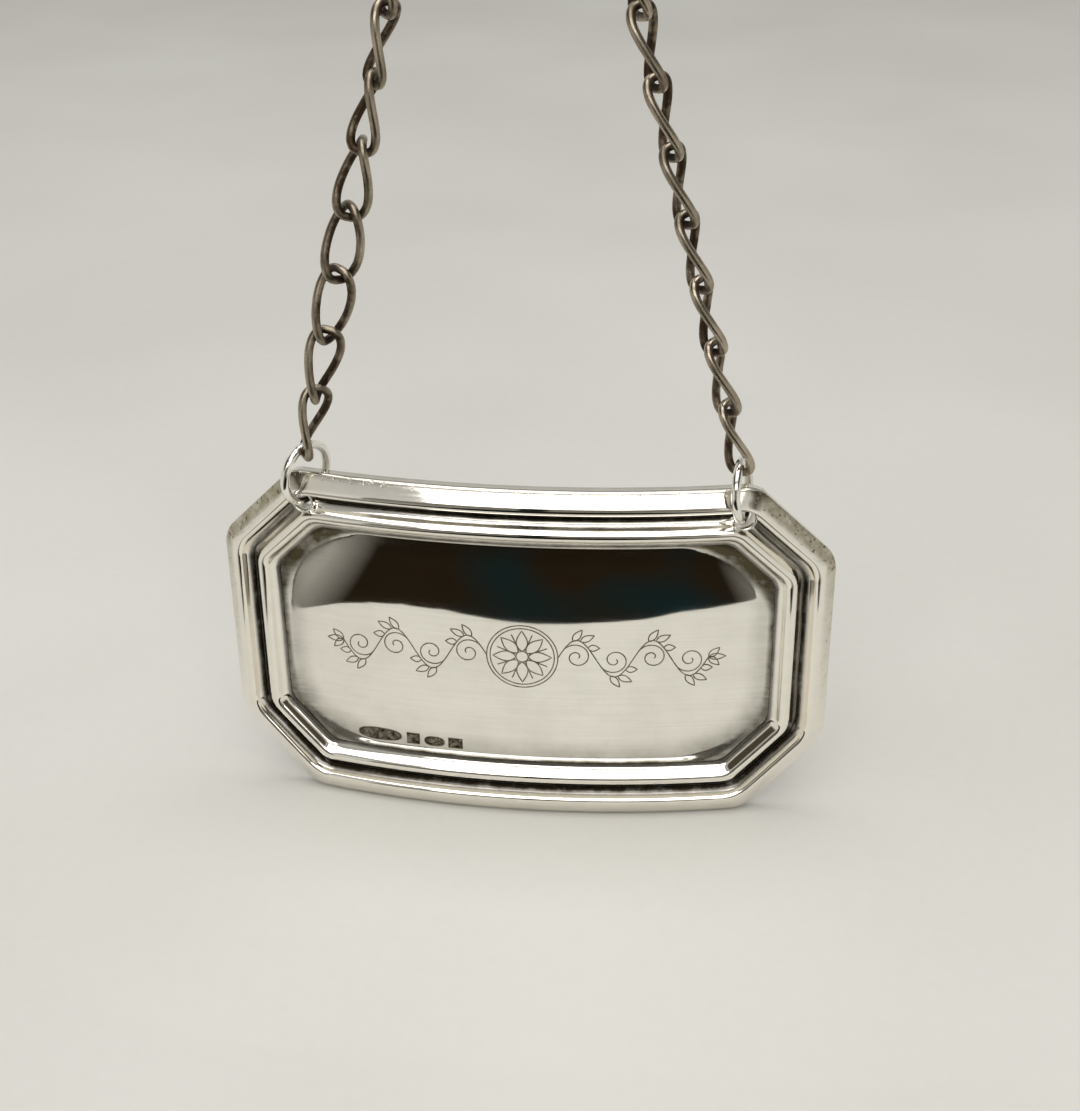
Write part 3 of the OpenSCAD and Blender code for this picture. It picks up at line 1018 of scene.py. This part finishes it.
# The studio: pale paper that fades into a pale room, soft light from the front and above,
# and dark and brown cards that only reflections see. Sizes in metres.
HORIZON = (0.7, 0.69, 0.64, 1)
PAPER_TONES = (0.7, 0.69, 0.645, 1), (0.76, 0.755, 0.71, 1)
PAPER_ROUGH, PAPER_SIZE, PAPER_GRAIN, PAPER_DROP = 0.8, 6, 0.25, 0.12
FADE_START, FADE_END = 0.36, 0.8
FLAG_TONES, FLAG_END = ((0.016, 0.011, 0.006, 1), (0.005, 0.018, 0.02, 1)), (0.33, 0.32, 0.29, 1)
CARD_BROWN, CARD_RIM = (0.075, 0.062, 0.045, 1), (0.6, 0.59, 0.55, 1)
FLAG_LIFT, CARD_SIZE = 0.0004, (0.5, 0.3)
TABLE_FLAG = [(-0.0435, -0.0195), (-0.0385, -0.021), (-0.0335, -0.0256), (-0.029, -0.0281), (-0.024, -0.03),
              (-0.017, -0.0314), (0.022, -0.0315), (0.029, -0.0306), (0.038, -0.0292), (0.05, -0.03),
              (0.09, -0.2), (-0.12, -0.2), (-0.07, -0.06)]
LAMP_TONE = (1.0, 0.985, 0.96)
ROOM_TONE, ROOM_LIGHT = (0.95, 0.94, 0.92, 1), 0.26
ROOM_HEIGHTS = ((0.35, (0.62, 0.61, 0.57, 1)), (0.72, (0.34, 0.34, 0.33, 1)), (0.86, (0.4, 0.4, 0.39, 1)))
ROOM_TOP = (0.9, 0.9, 0.88, 1)
floor_z = (label_z - LABEL_H / 2 - PAPER_DROP) * MM


def paper_white():
    material, g, shader = new_material("paper_white")
    shader["Roughness"].default_value = PAPER_ROUGH
    grain = g.noise(g.where(), 700.0, detail=6.0, rough=0.7)
    cloud = g.noise(g.where(), 14.0, detail=2.0)
    tone = g.math("ADD", g.math("MULTIPLY", grain, PAPER_GRAIN), cloud)
    g.links.new(g.mix(g.spread(tone, 0.45, 0.8), *PAPER_TONES), shader["Base Color"])
    far = g.nodes.new("ShaderNodeVectorMath")
    far.operation = "LENGTH"
    g.links.new(g.where(), far.inputs[0])
    fade = g.spread(far.outputs["Value"], FADE_START, FADE_END)
    fade.node.interpolation_type = "SMOOTHSTEP"
    haze = g.nodes.new("ShaderNodeEmission")
    haze.inputs["Color"].default_value = HORIZON
    faded = g.blend(g.math("MULTIPLY", fade, g.seen_rays()), g.nodes["Principled BSDF"].outputs[0],
                    haze.outputs[0])
    g.links.new(faded, g.nodes["Material Output"].inputs["Surface"])
    return material


def dull_material(name):
    material, g, shader = new_material(name)
    shader["Roughness"].default_value = 1.0
    shader["Specular IOR Level"].default_value = 0.0
    return material, g, shader


def flag_dark():
    material, g, shader = dull_material("flag_dark")
    across = g.axes()["X"]
    ends = g.math("ADD", g.spread(across, -0.041, -0.033, 1.0, 0.0), g.spread(across, 0.031, 0.039))
    drift = g.noise(g.where(), 34.0, detail=1.0)
    shade = g.mix(g.spread(drift, 0.42, 0.58), *FLAG_TONES)
    g.links.new(g.mix(ends, shade, FLAG_END), shader["Base Color"])
    return material


def card_brown():
    material, g, shader = dull_material("card_brown")
    axes = g.axes()
    rim = g.math("MAXIMUM", g.math("ABSOLUTE", axes["X"], 0.0), g.math("ABSOLUTE", axes["Y"], 0.0))
    g.links.new(g.mix(g.spread(rim, 0.3, 0.5), CARD_BROWN, CARD_RIM), shader["Base Color"])
    return material


def only_in_reflections(flag, material):
    flag.data.materials.append(material)
    flag.visible_camera = flag.visible_diffuse = flag.visible_shadow = flag.visible_transmission = False


def upright_card(name, at, facing, size, material):
    nothing_selected()
    bpy.ops.mesh.primitive_plane_add(size=1, location=at, rotation=(math.pi / 2, 0, facing))
    card = bpy.context.active_object
    card.name = name
    card.scale = (*size, 1)
    only_in_reflections(card, material)


def soft_light(name, at, towards, size, watts):
    nothing_selected()
    bpy.ops.object.light_add(type="AREA", location=at)
    lamp = bpy.context.active_object
    lamp.name = name
    lamp.data.shape = "RECTANGLE"
    lamp.data.size, lamp.data.size_y = size
    lamp.data.energy = watts
    lamp.data.color = LAMP_TONE
    lamp.rotation_mode = "QUATERNION"
    lamp.rotation_quaternion = (Vector(towards) - Vector(at)).to_track_quat("-Z", "Y")


def pale_room():
    world = bpy.data.worlds.new("pale_room")
    bpy.context.scene.world = world
    world.use_nodes = True
    g = Graph(world.node_tree)
    g.nodes.clear()
    room = g.nodes.new("ShaderNodeBackground")
    room.inputs["Color"].default_value = ROOM_TONE
    room.inputs["Strength"].default_value = ROOM_LIGHT
    heights = g.nodes.new("ShaderNodeValToRGB")
    steps = heights.color_ramp.elements
    steps[0].position, steps[0].color = 0.0, HORIZON
    steps[1].position, steps[1].color = 1.0, ROOM_TOP
    for at, tone in ROOM_HEIGHTS:
        steps.new(at).color = tone
    g.links.new(g.axes("Generated")["Z"], heights.inputs["Fac"])
    seen = g.nodes.new("ShaderNodeBackground")
    g.links.new(heights.outputs["Color"], seen.inputs["Color"])
    seen.inputs["Strength"].default_value = 1.0
    pick = g.blend(g.seen_rays(), room.outputs[0], seen.outputs[0])
    g.links.new(pick, g.nodes.new("ShaderNodeOutputWorld").inputs["Surface"])


nothing_selected()
bpy.ops.mesh.primitive_plane_add(size=PAPER_SIZE, location=(0, 0, floor_z))
paper = bpy.context.active_object
paper.name = "paper_table"
paper.data.materials.append(paper_white())

dark, brown = flag_dark(), card_brown()
only_in_reflections(filled_outline("table_flag", [(x, y, floor_z + FLAG_LIFT) for x, y in TABLE_FLAG]), dark)
upright_card("front_flag", (-0.015, -0.2, -0.021), 0, (0.21, 0.114), dark)
upright_card("left_card", (-0.3, -0.1, 0.165), math.pi / 2, CARD_SIZE, brown)
upright_card("right_card", (0.3, -0.1, 0.165), math.pi / 2, CARD_SIZE, brown)

soft_light("front_window", (0.03, -0.5, 0.3), (0, 0, label_z * MM), size=(0.5, 0.18), watts=0.9)
soft_light("ceiling", (0.0, -0.1, 0.55), (0, -0.1, 0), size=(0.6, 0.7), watts=3.1)
pale_room()

# Camera at the photograph's place, fitted to the label's outline
CAMERA_YAW, CAMERA_PITCH, CAMERA_ROLL = -6.84, 28.38, -0.75
CAMERA_AT = (16.1, -120.9, 75.1)
FOCAL_PIXELS, TALL_PIXELS, SENSOR = 1778, 1111, 36.0
yaw, pitch, roll = (math.radians(a) for a in (CAMERA_YAW, CAMERA_PITCH, CAMERA_ROLL))
ahead = Vector((math.sin(yaw) * math.cos(pitch), math.cos(yaw) * math.cos(pitch), -math.sin(pitch)))
level = Vector((math.cos(yaw), -math.sin(yaw), 0))
right = level * math.cos(roll) + level.cross(ahead) * math.sin(roll)
upward = right.cross(ahead)
lens = bpy.data.cameras.new("photo_camera")
camera = bpy.data.objects.new("photo_camera", lens)
bpy.context.collection.objects.link(camera)
lens.sensor_width = SENSOR
lens.lens = SENSOR * FOCAL_PIXELS / TALL_PIXELS
lens.clip_start, lens.clip_end = 0.001, 20.0
turned = Matrix((right, upward, -ahead)).transposed().to_4x4()
eye = (Vector(CAMERA_AT) + Vector((0, -eyelet_setback, label_z))) * MM
camera.matrix_world = Matrix.Translation(eye) @ turned
bpy.context.scene.camera = camera
bpy.context.scene.view_settings.view_transform = "Standard"
